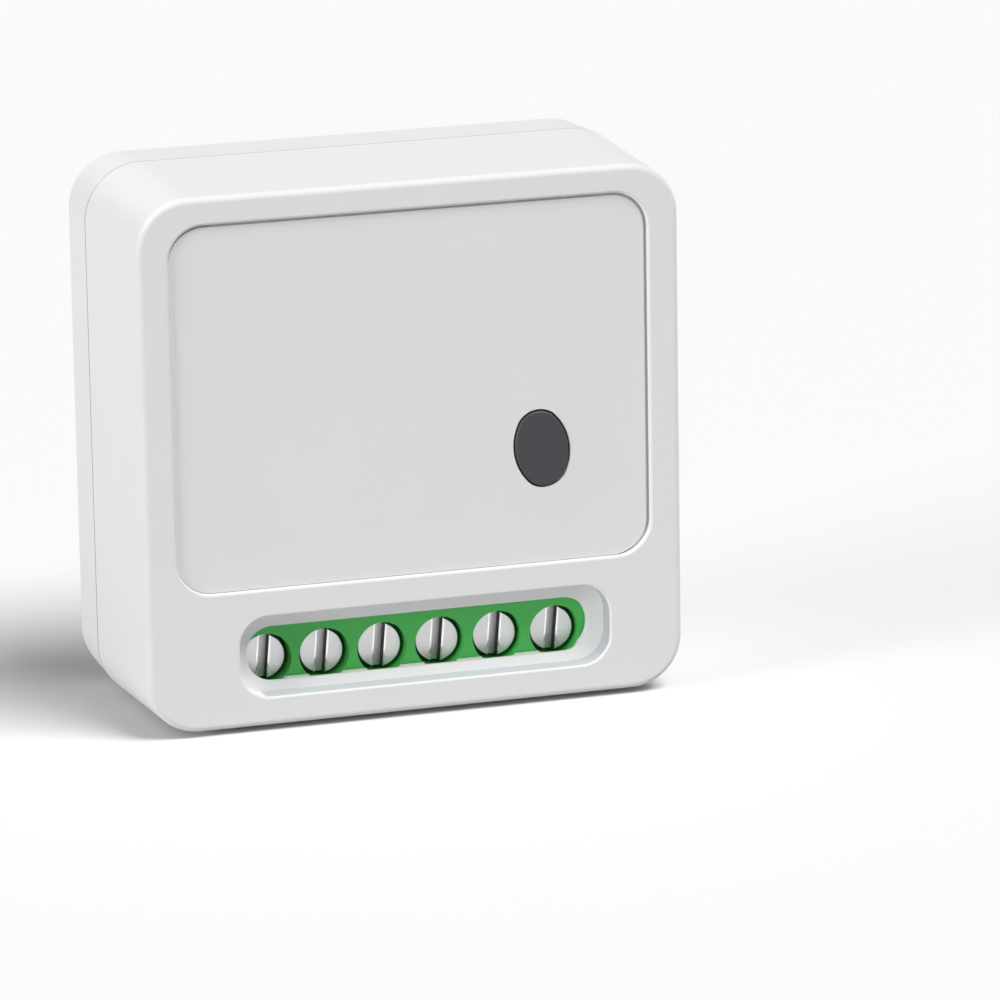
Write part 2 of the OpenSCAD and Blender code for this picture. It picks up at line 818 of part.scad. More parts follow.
// Relay cover: box over the works, open towards the board
module relay_cover() {
    inside = [relay_w - 2 * cover_t, relay_l - 2 * cover_t, relay_h - cover_t + past];
    color("royalblue") difference() {
        block_at([relay_x, relay_y], [relay_w, relay_l, relay_h], board_top);
        block_at([relay_x, relay_y], inside, board_top - past);
    }
}

// Relay base: plate that fills the cover's mouth and holds the pins
module relay_base() {
    color("black") difference() {
        block_at([relay_x, relay_y], [relay_w - 2 * cover_t, relay_l - 2 * cover_t, base_t], board_top);
        for (p = relay_leads) {
            pillar(p, lead_r + base_slip, board_top - past, board_top + base_t + past);
        }
    }
}

// Spool that the coil is wound on
module relay_bobbin() {
    size = [bobbin_side, bobbin_side, bobbin_flange];
    color("black") difference() {
        union() {
            pillar([relay_x, coil_y], tube_r, bobbin_z, pole_z);
            block_at([relay_x, coil_y], size, bobbin_z);
            block_at([relay_x, coil_y], size, pole_z - bobbin_flange);
        }
        pillar([relay_x, coil_y], core_r, bobbin_z - past, pole_z + past);
    }
}

// Copper coil on the spool
module relay_winding() {
    color("peru") difference() {
        pillar([relay_x, coil_y], coil_r, bobbin_z + bobbin_flange, pole_z - bobbin_flange);
        pillar([relay_x, coil_y], tube_r, bobbin_z, pole_z);
    }
}

// Iron core through the spool, with a broad pole face
module relay_core() {
    color("gray") {
        pillar([relay_x, coil_y], core_r, bobbin_z, pole_top);
        pillar([relay_x, coil_y], pole_r, pole_z, pole_top);
    }
}

// Iron yoke: a foot under the coil and a leg beside it that the armature rocks on
module relay_yoke() {
    foot_y = coil_y - yoke_foot;
    color("gray") translate([relay_x - yoke_w / 2, 0, yoke_z]) {
        translate([0, foot_y, 0]) cube([yoke_w, yoke_y + yoke_t - foot_y, yoke_t]);
        translate([0, yoke_y, 0]) cube([yoke_w, yoke_t, leaf_z - pivot_gap - yoke_z]);
    }
    color("silver") lead_wires([yoke_pin], yoke_z + yoke_t);
}

// Armature: iron plate over the pole that rocks on the yoke's top
module relay_armature() {
    color("gray") translate([relay_x - armature_w / 2, armature_y0, leaf_z + leaf_t]) {
        cube([armature_w, yoke_y + yoke_t - armature_y0, armature_t]);
    }
}

// Contact leaf: spring strip under the armature that carries the moving contact
module relay_leaf() {
    color("peru") {
        translate([relay_x - leaf_w / 2, leaf_y0, leaf_z]) {
            cube([leaf_w, contact_y + leaf_w / 2 - leaf_y0, leaf_t]);
        }
        pillar([relay_x, contact_y], contact_r, leaf_z - contact_t, leaf_z + leaf_t + contact_t);
    }
}

// Contact that the leaf closes on when the coil is on: a strip above the leaf, bent down to its pin
module relay_make_contact() {
    rivet_z = leaf_z + leaf_t + contact_t + contact_gap;
    color("peru") fixed_contact(rivet_z, rivet_z + contact_t / 2, make_pin);
}

// Contact that the leaf rests on when the coil is off: a strip below the leaf
module relay_break_contact() {
    rivet_top = leaf_z - contact_t - contact_rest;
    color("peru") fixed_contact(rivet_top - contact_t, rivet_top - contact_t / 2 - strip_t, break_pin);
}

// A contact strip with its rivet, and its leg down to a pin
module fixed_contact(rivet_z, strip_z, pin) {
    left = min(relay_x - contact_r, pin[0] - strip_leg / 2);
    right = max(relay_x + contact_r, pin[0] + strip_leg / 2);
    front = contact_y - contact_r;
    pillar([relay_x, contact_y], contact_r, rivet_z, rivet_z + contact_t);
    translate([left, front, strip_z]) cube([right - left, pin[1] + strip_t / 2 - front, strip_t]);
    block_at(pin, [strip_leg, strip_t, strip_z + strip_t - yoke_z], yoke_z);
    lead_wires([pin], yoke_z + strip_t);
}

// The coil's two pins
module relay_coil_pins() {
    color("silver") lead_wires(coil_pins, yoke_z + 2 * yoke_t);
}

// Transformer: ferrite core with its middle leg upright
module transformer_core() {
    window_w = (core_size[0] - core_middle) / 2 - core_limb;
    window_x = (core_middle + window_w) / 2;
    color("dimgray") difference() {
        block_at(transformer, core_size, board_top + core_lift);
        for (s = [-1, 1]) {
            block_at(
                transformer + [s * window_x, 0],
                [window_w, core_size[1] + past, core_size[2] - 2 * core_limb],
                board_top + core_lift + core_limb
            );
        }
    }
}

// Level of the lower side of the transformer's spool
function spool_z() = board_top + core_lift + core_limb;

// Transformer's spool, with two feet that stand on the board and four pins
module transformer_bobbin() {
    flange = [spool_size[0], spool_size[1], spool_flange];
    tube = [core_middle + 2 * spool_wall, core_size[1] + 2 * spool_wall, spool_size[2]];
    foot_y = (spool_size[1] - spool_foot[1]) / 2;
    color("black") difference() {
        union() {
            block_at(transformer, flange, spool_z());
            block_at(transformer, flange, spool_z() + spool_size[2] - spool_flange);
            block_at(transformer, tube, spool_z());
            for (s = [-1, 1]) {
                block_at(transformer + [0, s * foot_y], spool_foot, board_top);
                block_at(
                    transformer + [0, s * foot_y],
                    [spool_size[0], spool_foot[1], spool_z() - board_top],
                    board_top
                );
            }
        }
        block_at(transformer, [core_middle, core_size[1], spool_size[2] + 2 * past], spool_z() - past);
    }
    color("silver") lead_wires(transformer_leads, board_top + spool_foot[2] / 2);
}

// Transformer's winding, wrapped in tape
module transformer_winding() {
    h = spool_size[2] - 2 * spool_flange;
    inside = [core_middle + 2 * spool_wall, core_size[1] + 2 * spool_wall, h + 2 * past];
    color("gold") difference() {
        block_at(transformer, [winding_size[0], winding_size[1], h], spool_z() + spool_flange);
        block_at(transformer, inside, spool_z() + spool_flange - past);
    }
}

// A can capacitor with a rolled groove, standing on its two leads
module can_capacitor(spot, r, h, wires) {
    translate([spot[0], spot[1], board_top]) rotate_extrude() difference() {
        square([r, h]);
        translate([r + can_groove_r - can_groove_in, can_groove_z]) circle(can_groove_r);
    }
    lead_wires(wires, board_top + can_groove_z);
}

// Mains-side capacitor
module input_capacitor() {
    color("midnightblue") can_capacitor(big_can, big_can_r, big_can_h, big_can_leads);
}

// Low-voltage capacitor
module output_capacitor() {
    color("midnightblue") can_capacitor(small_can, small_can_r, small_can_h, small_can_leads);
}

// A round rod along x about a middle point
module cross_rod(spot, z, r, l) {
    translate([spot[0] - l / 2, spot[1], z]) rotate([0, 90, 0]) cylinder(h = l, r = r);
}

// Fusible resistor lying across the board
module fuse_resistor() {
    z = board_top + fuse_r + slip;
    color("tan") cross_rod(fuse, z, fuse_r, fuse_l);
    color("silver") {
        cross_rod(fuse, z, lead_r, 2 * (fuse_span + lead_r));
        lead_wires(fuse_leads, z);
    }
}

// Varistor: coated disc standing on edge
module varistor_disc() {
    z = board_top + varistor_r + clear;
    color("steelblue") cross_rod(varistor, z, varistor_r, varistor_t);
    color("silver") lead_wires(varistor_leads, z);
}

// Choke: drum core with a waist for its wire
module choke_coil() {
    waist = choke_r - choke_waist;
    color("dimgray") translate([choke[0], choke[1], board_top]) rotate_extrude() polygon([
        [0, 0], [choke_r, 0], [choke_r, choke_flange], [waist, choke_flange],
        [waist, choke_h - choke_flange], [choke_r, choke_h - choke_flange], [choke_r, choke_h], [0, choke_h]
    ]);
    color("silver") lead_wires(choke_leads, board_top + choke_flange);
}

// Optocoupler with four legs
module optocoupler() {
    z = board_top + coupler_lift + coupler_size[2] / 2;
    color("black") block_at(coupler, coupler_size, board_top + coupler_lift);
    color("silver") for (p = coupler_leads) {
        block_at(
            (p + [p[0], coupler[1]]) / 2,
            [2 * lead_r, abs(p[1] - coupler[1]), leg_size[2]],
            z - leg_size[2]
        );
        lead_wires([p], z);
    }
}

// A flat chip with a row of legs along two sides
module flat_chip(spot, size, legs, step) {
    foot = 0.1;
    block_at(spot, size - [0, 0, foot], board_top + foot);
    for (i = [1:legs], s = [-1, 1]) {
        across = (i - (legs + 1) / 2) * step;
        block_at(spot + [across, s * (size[1] / 2 + leg_size[1] / 3)], leg_size, board_top);
    }
}

// Bridge rectifier
module bridge_rectifier() {
    color("black") flat_chip(rectifier, rectifier_size, 2, rectifier_step);
}

// Supply control chip
module supply_chip() {
    color("black") flat_chip(chip, chip_size, 4, chip_step);
}

// Low-voltage regulator
module regulator_chip() {
    color("black") flat_chip(regulator, regulator_size, 3, regulator_step);
}

// Status lamp beside the switch
module status_led() {
    color("ivory") block_at(led, led_size, board_top);
}

// Radio board: small board soldered flat on the main one
module radio_board() {
    color("darkblue") block_at(radio, radio_size, board_top);
}

// Screening can on the radio board, open below
module radio_shield() {
    spot = [radio[0], radio_y0 + shield_edge + shield_size[1] / 2];
    z = board_top + radio_size[2];
    color("silver") difference() {
        block_at(spot, shield_size, z);
        block_at(spot, shield_size - [2 * shield_t, 2 * shield_t, shield_t - past], z - past);
    }
}

// Where a small chip stands behind the radio board
function small_spot(i, j) = [radio[0] + i * small_step[0], radio_y0 + j * small_step[1]];

// Chip resistors in two rows on the solder side
module chip_resistors() {
    color("black") for (i = [-2:2], j = [1, 2]) {
        block_at(small_spot(i, j), resistor_size, board_z - resistor_size[2]);
    }
}

// Chip capacitors in a row on the solder side
module chip_capacitors() {
    color("tan") for (i = [-2:2]) {
        block_at(small_spot(i, 3), capacitor_size, board_z - capacitor_size[2]);
    }
}

stand() front_cover();
stand() rear_cover();
stand() panel_film();
stand() button_cap();
stand() terminal_block();
stand() terminal_bars();
stand() terminal_screw(1);  // terminal_screw_1
stand() terminal_screw(2);  // terminal_screw_2
stand() terminal_screw(3);  // terminal_screw_3
stand() terminal_screw(4);  // terminal_screw_4
stand() terminal_screw(5);  // terminal_screw_5
stand() terminal_screw(6);  // terminal_screw_6
stand() clamp_cage(1);  // clamp_cage_1
stand() clamp_cage(2);  // clamp_cage_2
stand() clamp_cage(3);  // clamp_cage_3
stand() clamp_cage(4);  // clamp_cage_4
stand() clamp_cage(5);  // clamp_cage_5
stand() clamp_cage(6);  // clamp_cage_6
stand() main_board();
stand() switch_base();
stand() switch_frame();
stand() switch_plunger();
stand() switch_dome();
stand() relay_cover();
stand() relay_base();
stand() relay_bobbin();
stand() relay_winding();
stand() relay_core();
stand() relay_yoke();
stand() relay_armature();
stand() relay_leaf();
stand() relay_make_contact();
stand() relay_break_contact();
stand() relay_coil_pins();
stand() transformer_core();
stand() transformer_bobbin();
stand() transformer_winding();
stand() input_capacitor();
stand() output_capacitor();
stand() fuse_resistor();
stand() varistor_disc();
stand() choke_coil();
stand() optocoupler();
stand() bridge_rectifier();
stand() supply_chip();
stand() regulator_chip();
stand() status_led();
stand() radio_board();
stand() radio_shield();
stand() chip_resistors();
stand() chip_capacitors();
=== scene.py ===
import math

import bpy
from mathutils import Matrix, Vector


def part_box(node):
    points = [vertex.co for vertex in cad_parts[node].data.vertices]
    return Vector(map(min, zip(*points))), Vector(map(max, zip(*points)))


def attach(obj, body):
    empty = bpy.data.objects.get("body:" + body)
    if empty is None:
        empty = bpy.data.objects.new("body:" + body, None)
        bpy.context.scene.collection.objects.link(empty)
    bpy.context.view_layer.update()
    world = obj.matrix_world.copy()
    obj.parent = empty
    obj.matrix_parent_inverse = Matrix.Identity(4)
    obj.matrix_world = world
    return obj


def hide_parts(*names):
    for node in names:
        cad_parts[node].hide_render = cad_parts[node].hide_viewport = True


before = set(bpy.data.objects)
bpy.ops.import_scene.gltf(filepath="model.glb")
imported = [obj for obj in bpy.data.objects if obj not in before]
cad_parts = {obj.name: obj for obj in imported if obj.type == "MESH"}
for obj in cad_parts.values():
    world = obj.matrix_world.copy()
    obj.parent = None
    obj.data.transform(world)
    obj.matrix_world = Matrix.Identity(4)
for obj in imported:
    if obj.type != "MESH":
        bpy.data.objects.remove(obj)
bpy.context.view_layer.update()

# The studio: a plain pale floor, a soft key light from above on the right, a low light from the
# left that catches the rims, and a long lens above the face and to its left.

scene = bpy.context.scene
scene.view_settings.view_transform = "Standard"

camera_place = (-0.1586985, -0.5268159, 0.1513103)
camera_turn = (76.14717, 0.92010, -18.05814)
lens_length = 244.454
sensor_width = 36
nearest_seen = 0.01
bpy.ops.object.camera_add(
    location=camera_place,
    rotation=[math.radians(angle) for angle in camera_turn],
)
camera = bpy.context.object
camera.name = "camera"
camera.data.lens = lens_length
camera.data.sensor_width = sensor_width
camera.data.clip_start = nearest_seen
scene.camera = camera


def sun_lamp(name, towards_light, strength, soft_angle):
    """A lamp with no falloff, given by the direction that its light comes from."""
    x, y, z = towards_light
    bpy.ops.object.light_add(type="SUN")
    lamp = bpy.context.object
    lamp.name = name
    lamp.rotation_euler = (math.atan2(math.hypot(x, y), z), 0, math.atan2(x, -y))
    lamp.data.energy = strength * math.pi
    lamp.data.angle = math.radians(soft_angle)


sun_lamp("key_light", towards_light=(0.33, -0.38, 0.86), strength=0.83, soft_angle=34)
sun_lamp("low_left_light", towards_light=(-0.95, -0.24, 0.13), strength=0.69, soft_angle=25)


def seen_level(tree, hidden, seen):
    """One level for the rays of the camera and of mirrors, and another for the light on the object."""
    path = tree.nodes.new("ShaderNodeLightPath")
    direct = tree.nodes.new("ShaderNodeMath")
    direct.operation = "MAXIMUM"
    any_seen = tree.nodes.new("ShaderNodeMath")
    any_seen.operation = "MAXIMUM"
    level = tree.nodes.new("ShaderNodeMapRange")
    level.inputs["To Min"].default_value = hidden
    level.inputs["To Max"].default_value = seen
    tree.links.new(path.outputs["Is Camera Ray"], direct.inputs[0])
    tree.links.new(path.outputs["Is Glossy Ray"], direct.inputs[1])
    tree.links.new(direct.outputs[0], any_seen.inputs[0])
    tree.links.new(path.outputs["Is Transmission Ray"], any_seen.inputs[1])
    tree.links.new(any_seen.outputs[0], level.inputs["Value"])
    return level.outputs["Result"]


ambient = 0.24
sky_seen = 1.0
world = bpy.data.worlds.new("studio")
scene.world = world
world.use_nodes = True
sky = world.node_tree
sky.nodes.clear()
background = sky.nodes.new("ShaderNodeBackground")
sky_output = sky.nodes.new("ShaderNodeOutputWorld")
sky.links.new(seen_level(sky, ambient, sky_seen), background.inputs["Strength"])
sky.links.new(background.outputs["Background"], sky_output.inputs["Surface"])


def new_finish(name, colour, roughness, metal=0.0):
    """A material with its main shader set to one colour, roughness and share of metal."""
    material = bpy.data.materials.new(name)
    material.use_nodes = True
    shader = material.node_tree.nodes["Principled BSDF"]
    shader.inputs["Base Color"].default_value = (*colour, 1)
    shader.inputs["Roughness"].default_value = roughness
    shader.inputs["Metallic"].default_value = metal
    return material, shader


floor_size = 4.0
floor_seen = 0.955
floor_bounce = 0.5
bpy.ops.object.select_all(action="DESELECT")
bpy.ops.mesh.primitive_plane_add(size=floor_size)
floor = bpy.context.object
floor.name = "floor"
floor_white = (floor_seen, floor_seen, floor_seen)
floor_finish, floor_shader = new_finish("pale_paper", floor_white, roughness=0.9)
floor_shader.inputs["Specular IOR Level"].default_value = 0
floor_tree = floor_finish.node_tree
floor_level = seen_level(floor_tree, floor_bounce, floor_seen)
floor_tree.links.new(floor_level, floor_shader.inputs["Base Color"])
floor.data.materials.append(floor_finish)

# The rear cover: a shallow tray of white plastic, moulded with a fine even grain. Its tongue and
# four hooks snap into the front cover, along the seam round the sides.

white = (0.842, 0.842, 0.842)
pattern_low = 0.3
pattern_high = 0.7
roughness_drift = 0.04


def add_noise(material, feature, detail=3.0, stretch=(1, 1, 1)):
    """A noise pattern in the piece's own space, with features of one size."""
    nodes = material.node_tree.nodes
    links = material.node_tree.links
    place = nodes.new("ShaderNodeTexCoord")
    mapping = nodes.new("ShaderNodeMapping")
    mapping.inputs["Scale"].default_value = stretch
    noise = nodes.new("ShaderNodeTexNoise")
    noise.inputs["Scale"].default_value = 1 / feature
    noise.inputs["Detail"].default_value = detail
    links.new(place.outputs["Object"], mapping.inputs["Vector"])
    links.new(mapping.outputs["Vector"], noise.inputs["Vector"])
    return noise.outputs["Fac"]


def vary_colour(material, shader, pattern, dark, light):
    """The base colour runs from dark to light with the pattern."""
    ramp = material.node_tree.nodes.new("ShaderNodeValToRGB")
    ramp.color_ramp.elements[0].position = pattern_low
    ramp.color_ramp.elements[0].color = (*dark, 1)
    ramp.color_ramp.elements[1].position = pattern_high
    ramp.color_ramp.elements[1].color = (*light, 1)
    material.node_tree.links.new(pattern, ramp.inputs["Fac"])
    material.node_tree.links.new(ramp.outputs["Color"], shader.inputs["Base Color"])


def vary_roughness(material, shader, pattern, low, high):
    """The roughness runs from low to high with the pattern."""
    span = material.node_tree.nodes.new("ShaderNodeMapRange")
    span.inputs["From Min"].default_value = pattern_low
    span.inputs["From Max"].default_value = pattern_high
    span.inputs["To Min"].default_value = low
    span.inputs["To Max"].default_value = high
    material.node_tree.links.new(pattern, span.inputs["Value"])
    material.node_tree.links.new(span.outputs["Result"], shader.inputs["Roughness"])


def add_bump(material, shader, pattern, height):
    """The pattern raises the surface by up to the height."""
    bump = material.node_tree.nodes.new("ShaderNodeBump")
    bump.inputs["Distance"].default_value = height
    material.node_tree.links.new(pattern, bump.inputs["Height"])
    material.node_tree.links.new(bump.outputs["Normal"], shader.inputs["Normal"])


def shade(colour, factor):
    """The colour made darker or lighter."""
    return [value * factor for value in colour]


def moulded_finish(
    name, colour, roughness, drift=0.03, mottle=0.006, grain=0.00011, grain_height=2e-6, gloss=0.5,
):
    """Moulded plastic: a slow drift of colour and roughness, and a fine even grain."""
    material, shader = new_finish(name, colour, roughness)
    shader.inputs["Specular IOR Level"].default_value = gloss
    slow = add_noise(material, mottle)
    vary_colour(material, shader, slow, shade(colour, 1 - drift), shade(colour, 1 + drift))
    vary_roughness(material, shader, slow, roughness - roughness_drift, roughness + roughness_drift)
    fine = add_noise(material, grain, detail=2)
    add_bump(material, shader, fine, grain_height)
    return material


def dress(finish, *names):
    """Gives one finish to CAD nodes that keep their own shape."""
    for name in names:
        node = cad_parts[name]
        node.data.materials.clear()
        node.data.materials.append(finish)


white_plastic = moulded_finish(
    "white_plastic", white, roughness=0.48, drift=0.006, grain_height=8e-7, gloss=0.05,
)
dress(white_plastic, "rear_cover")

# The circuit board: glass fibre under a green mask, cut out with a router, so the fibre shows
# along its edges. It lies on the rear cover's posts.

mask_green = (0.010, 0.085, 0.035)
trace_green = (0.013, 0.108, 0.044)
fibre = (0.42, 0.40, 0.24)
mask_roughness = 0.32
mask_light = 1.15
tracks_scale = 160
tracks_width = 0.035
tracks_height = 2e-5


def board_finish(name, mask, trace):
    """Solder mask over straight copper tracks, which raise it a little."""
    material, shader = new_finish(name, mask, mask_roughness)
    nodes = material.node_tree.nodes
    links = material.node_tree.links
    place = nodes.new("ShaderNodeTexCoord")
    tracks = nodes.new("ShaderNodeTexBrick")
    tracks.inputs["Scale"].default_value = tracks_scale
    tracks.inputs["Mortar Size"].default_value = tracks_width
    tracks.inputs["Color1"].default_value = (*mask, 1)
    tracks.inputs["Color2"].default_value = (*shade(mask, mask_light), 1)
    tracks.inputs["Mortar"].default_value = (*trace, 1)
    upright = nodes.new("ShaderNodeMapping")
    upright.inputs["Rotation"].default_value = (math.radians(90), 0, 0)
    links.new(place.outputs["Object"], upright.inputs["Vector"])
    links.new(upright.outputs["Vector"], tracks.inputs["Vector"])
    links.new(tracks.outputs["Color"], shader.inputs["Base Color"])
    add_bump(material, shader, tracks.outputs["Fac"], tracks_height)
    return material


def paint_faces(piece, finish, test):
    """Gives a further finish to the faces whose middle and normal pass the test."""
    piece.data.materials.append(finish)
    index = len(piece.data.materials) - 1
    for face in piece.data.polygons:
        if test(face.center, face.normal):
            face.material_index = index


def dress_part(name, finish, test):
    """Gives a further finish to some faces of a CAD node."""
    paint_faces(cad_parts[name], finish, test)


def on_board_edge(spot, normal):
    """Whether a face is on a board's cut edge, or in one of its holes."""
    return abs(normal.y) < max(abs(normal.x), abs(normal.z))


fibre_edge = moulded_finish(
    "fibre_edge", fibre, roughness=0.7, drift=0.12, mottle=0.0008, grain_height=2e-5,
)
dress(board_finish("board_mask", mask_green, trace_green), "main_board")
dress_part("main_board", fibre_edge, on_board_edge)

# The terminals: tinned bars that stand in the board, and plated brass cages that the screws draw
# up against them. Both are stamped from strip, so they carry rolling marks and soft edges.

tin = (0.70, 0.70, 0.68)
brass = (0.78, 0.62, 0.34)
cloud_size = 0.0007
cloud_dark = 0.9
cloud_light = 1.04
polish_drop = 0.06
polish_rise = 0.08
streak_size = 0.00018
along_strip = (1, 0.08, 1)
cage_edge = 0.00012
pole_count = 6
poles = range(1, pole_count + 1)
# Places that agree within a hair count as the same place.
hair = 1e-6
flat_angle = math.radians(0.2)
sharp_angle = math.radians(40)


def metal_finish(name, colour, roughness, stretch=(1, 1, 1), streak_height=1.5e-6, metal=1.0):
    """Plated or rolled metal: cloudy gloss and fine streaks along the strip."""
    material, shader = new_finish(name, colour, roughness, metal)
    cloud = add_noise(material, cloud_size)
    vary_colour(material, shader, cloud, shade(colour, cloud_dark), shade(colour, cloud_light))
    vary_roughness(material, shader, cloud, roughness - polish_drop, roughness + polish_rise)
    streaks = add_noise(material, streak_size, detail=2, stretch=stretch)
    add_bump(material, shader, streaks, streak_height)
    return material


tinned_metal = metal_finish("tinned_metal", tin, roughness=0.34, stretch=along_strip)
plated_brass = metal_finish("plated_brass", brass, roughness=0.32, stretch=along_strip)
dress(tinned_metal, "terminal_bars")


def work_on(piece):
    """Makes the piece the only selected one."""
    bpy.ops.object.select_all(action="DESELECT")
    piece.select_set(True)
    bpy.context.view_layer.objects.active = piece


def take_copy(node_name, piece_name):
    """A copy of a CAD node's shape, with its points merged and its flats made whole, to work on."""
    piece = bpy.data.objects.new(piece_name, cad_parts[node_name].data.copy())
    bpy.context.collection.objects.link(piece)
    piece.data.materials.clear()
    work_on(piece)
    bpy.ops.mesh.customdata_custom_splitnormals_clear()
    bpy.ops.object.mode_set(mode="EDIT")
    bpy.ops.mesh.select_all(action="SELECT")
    bpy.ops.mesh.remove_doubles(threshold=hair)
    bpy.ops.mesh.dissolve_limited(angle_limit=flat_angle)
    bpy.ops.object.mode_set(mode="OBJECT")
    return piece


def pick_edges(piece, test):
    """Selects, in edit mode, the sharp edges whose two ends pass the test."""
    bpy.ops.object.mode_set(mode="EDIT")
    bpy.ops.mesh.select_mode(type="EDGE")
    bpy.ops.mesh.select_all(action="DESELECT")
    bpy.ops.mesh.edges_select_sharp(sharpness=sharp_angle)
    bpy.ops.object.mode_set(mode="OBJECT")
    points = piece.data.vertices
    sharp = [edge.index for edge in piece.data.edges if edge.select]
    bpy.ops.object.mode_set(mode="EDIT")
    bpy.ops.mesh.select_all(action="DESELECT")
    bpy.ops.object.mode_set(mode="OBJECT")
    for number in sharp:
        edge = piece.data.edges[number]
        edge.select = test(points[edge.vertices[0]].co, points[edge.vertices[1]].co)
    bpy.ops.object.mode_set(mode="EDIT")


def smooth_sides(piece, angle=32):
    """Rounds off the shading across edges up to the angle, with flat faces kept flat."""
    bpy.ops.object.mode_set(mode="OBJECT")
    work_on(piece)
    bpy.ops.object.shade_smooth_by_angle(angle=math.radians(angle))
    even = piece.modifiers.new("even", "WEIGHTED_NORMAL")
    even.keep_sharp = True
    bpy.ops.object.modifier_apply(modifier=even.name)


def copy_along(piece, shift):
    """A copy of a finished piece with a mesh of its own, moved along the row."""
    work_on(piece)
    bpy.ops.object.duplicate()
    copy = bpy.context.object
    copy.location.x = shift
    bpy.ops.object.transform_apply(location=True, rotation=False, scale=False)
    return copy


def fit_row(first, part_name, node_name, body_name):
    """Puts copies of the first piece on all the poles, each in its CAD node's place and on its body."""
    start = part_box(f"{node_name}_1")[0].x
    row = [first]
    for pole in poles[1:]:
        row.append(copy_along(first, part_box(f"{node_name}_{pole}")[0].x - start))
    for pole, piece in zip(poles, row):
        piece.name = f"{part_name}_{pole}"
        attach(piece, f"{body_name}_{pole}")
        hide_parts(f"{node_name}_{pole}")


cage = take_copy("clamp_cage_1", "cage")
pick_edges(cage, lambda start, end: True)
bpy.ops.mesh.bevel(offset=cage_edge, segments=3, affect="EDGES", clamp_overlap=True)
cage.data.materials.append(plated_brass)
smooth_sides(cage)
fit_row(cage, "wire_cage", "clamp_cage", "cage")

# The terminal block: green plastic, moulded in one piece with a well for each screw, a chamber
# for each cage and a hole below for each wire. It is held down by the bars' pins in the board.

green = (0.068, 0.51, 0.094)
dress(moulded_finish("green_plastic", green, roughness=0.42, mottle=0.002), "terminal_block")

# The terminal screws: zinc-plated steel, turned from bar, with a thin chamfer round a flat head and
# a sawn slot. The slot's edges are painted bright as a painted highlight and its floor paler as painted
# light; its walls and the head's rim are painted dark as painted shade.

steel = (0.81, 0.786, 0.815)
# The near-white of the painted highlight along the slot's chamfers.
highlight_white_steel = (0.97, 0.97, 0.97)
# The pale steel of the painted light on the slot's floor.
slot_floor_light = (0.94, 0.92, 0.94)
# The near-black of the painted shade on the slot's walls and on the chamfer round the head.
painted_shade_dark = (0.10, 0.10, 0.104)
across_slot = (0.05, 1, 1)
slot_width = 0.00086
slot_depth = 0.0009
slot_lean = math.radians(5)
slot_chamfer = 0.00014
chamfer_depth = 0.00003
head_height = 0.0016
head_sides = 96
rim_chamfer = 0.00012
# The head's flat looks forward more squarely than this, and the chamfer round it less.
rim_flattest = 0.97
shank_radius = 0.00125
thread_pitch = 0.00045
thread_height = 0.0002
tip_length = 0.0004
tip_taper = 0.6
# A face looks along an axis if its normal has at least this share of it.
facing = 0.9
strand_steps = 32


def middle_of(node_name):
    """The middle of a CAD node's box."""
    low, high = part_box(node_name)
    return (low + high) / 2


def pick_faces(piece, test):
    """Selects, in edit mode, the faces whose middle and normal pass the test."""
    bpy.ops.object.mode_set(mode="EDIT")
    bpy.ops.mesh.select_mode(type="FACE")
    bpy.ops.mesh.select_all(action="DESELECT")
    bpy.ops.object.mode_set(mode="OBJECT")
    for face in piece.data.polygons:
        face.select = test(face.center, face.normal)
    bpy.ops.object.mode_set(mode="EDIT")


def add_block(middle, size):
    """A plain block with its place and size in its mesh, to be shaped or to cut with."""
    bpy.ops.object.select_all(action="DESELECT")
    bpy.ops.mesh.primitive_cube_add(size=1, location=middle, scale=size)
    block = bpy.context.object
    bpy.ops.object.transform_apply(location=True, rotation=True, scale=True)
    return block


def cut_away(piece, cutter):
    """Takes the cutter's shape out of the piece and deletes the cutter."""
    work_on(piece)
    cut = piece.modifiers.new("cut", "BOOLEAN")
    cut.operation = "DIFFERENCE"
    cut.solver = "EXACT"
    cut.object = cutter
    bpy.ops.object.modifier_apply(modifier=cut.name)
    bpy.data.objects.remove(cutter)


def wind(name, axis, radius, pitch, start, end, sides):
    """A ridge or wire wound closely round an axis along y, out to the radius, with its ends closed."""
    bpy.ops.object.select_all(action="DESELECT")
    bpy.ops.mesh.primitive_circle_add(
        vertices=sides,
        radius=pitch / 2,
        location=(radius - pitch / 2, 0, 0),
        rotation=(math.radians(90), 0, 0),
    )
    strand = bpy.context.object
    strand.name = name
    bpy.ops.object.transform_apply(location=True, rotation=True, scale=True)
    turns = strand.modifiers.new("turns", "SCREW")
    turns.screw_offset = pitch
    turns.iterations = int((end - start) / pitch) - 1
    turns.steps = strand_steps
    bpy.ops.object.modifier_apply(modifier=turns.name)
    bpy.ops.object.mode_set(mode="EDIT")
    bpy.ops.mesh.select_all(action="SELECT")
    bpy.ops.mesh.remove_doubles(threshold=hair / 10)
    bpy.ops.mesh.fill_holes(sides=sides)
    bpy.ops.mesh.normals_make_consistent(inside=False)
    bpy.ops.object.mode_set(mode="OBJECT")
    strand.rotation_euler = (math.radians(-90), 0, 0)
    strand.location = (axis.x, start + pitch / 2, axis.z)
    bpy.ops.object.transform_apply(location=True, rotation=True, scale=True)
    smooth_sides(strand, angle=60)
    return strand


def join_to(piece, other):
    """Makes the other piece a part of the first."""
    work_on(piece)
    other.select_set(True)
    bpy.ops.object.join()


def off_axis(point, axis):
    """How far a point is from an axis along y."""
    return math.hypot(point.x - axis.x, point.z - axis.z)


screw_low, screw_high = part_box("terminal_screw_1")
screw_axis = middle_of("terminal_screw_1")
head_radius = (screw_high.x - screw_low.x) / 2
head_face = screw_low.y
head_back = head_face + head_height
head_middle = (screw_axis.x, head_face, screw_axis.z)

